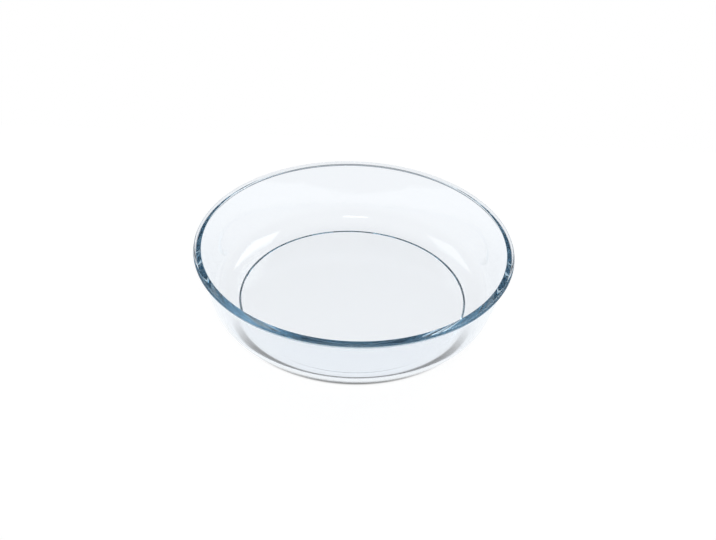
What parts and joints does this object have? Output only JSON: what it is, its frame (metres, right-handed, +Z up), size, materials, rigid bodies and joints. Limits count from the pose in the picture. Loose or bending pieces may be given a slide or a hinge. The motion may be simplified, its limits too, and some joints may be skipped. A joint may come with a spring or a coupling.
{
  "type": "round glass cake dish",
  "caption": "Round clear-glass cake dish, open at the top, with a flat base, a large rounded heel, a flaring wall and a flat lip with a rounded edge, for baking and serving.",
  "frame": {"origin": "centre of the flat seat under the base", "axes": "+Z up along the dish's axis of revolution, out of the open top; X and Y are any two square directions in the seat, with -Y towards the picture's camera"},
  "size_m": [0.26, 0.26, 0.0583],
  "materials": {
    "clear_glass": "fire-polished, clear with a faint blue tint in the thick lip"
  },
  "bodies": {
    "root": {"glass_dish": "clear_glass"}
  },
  "joints": []
}
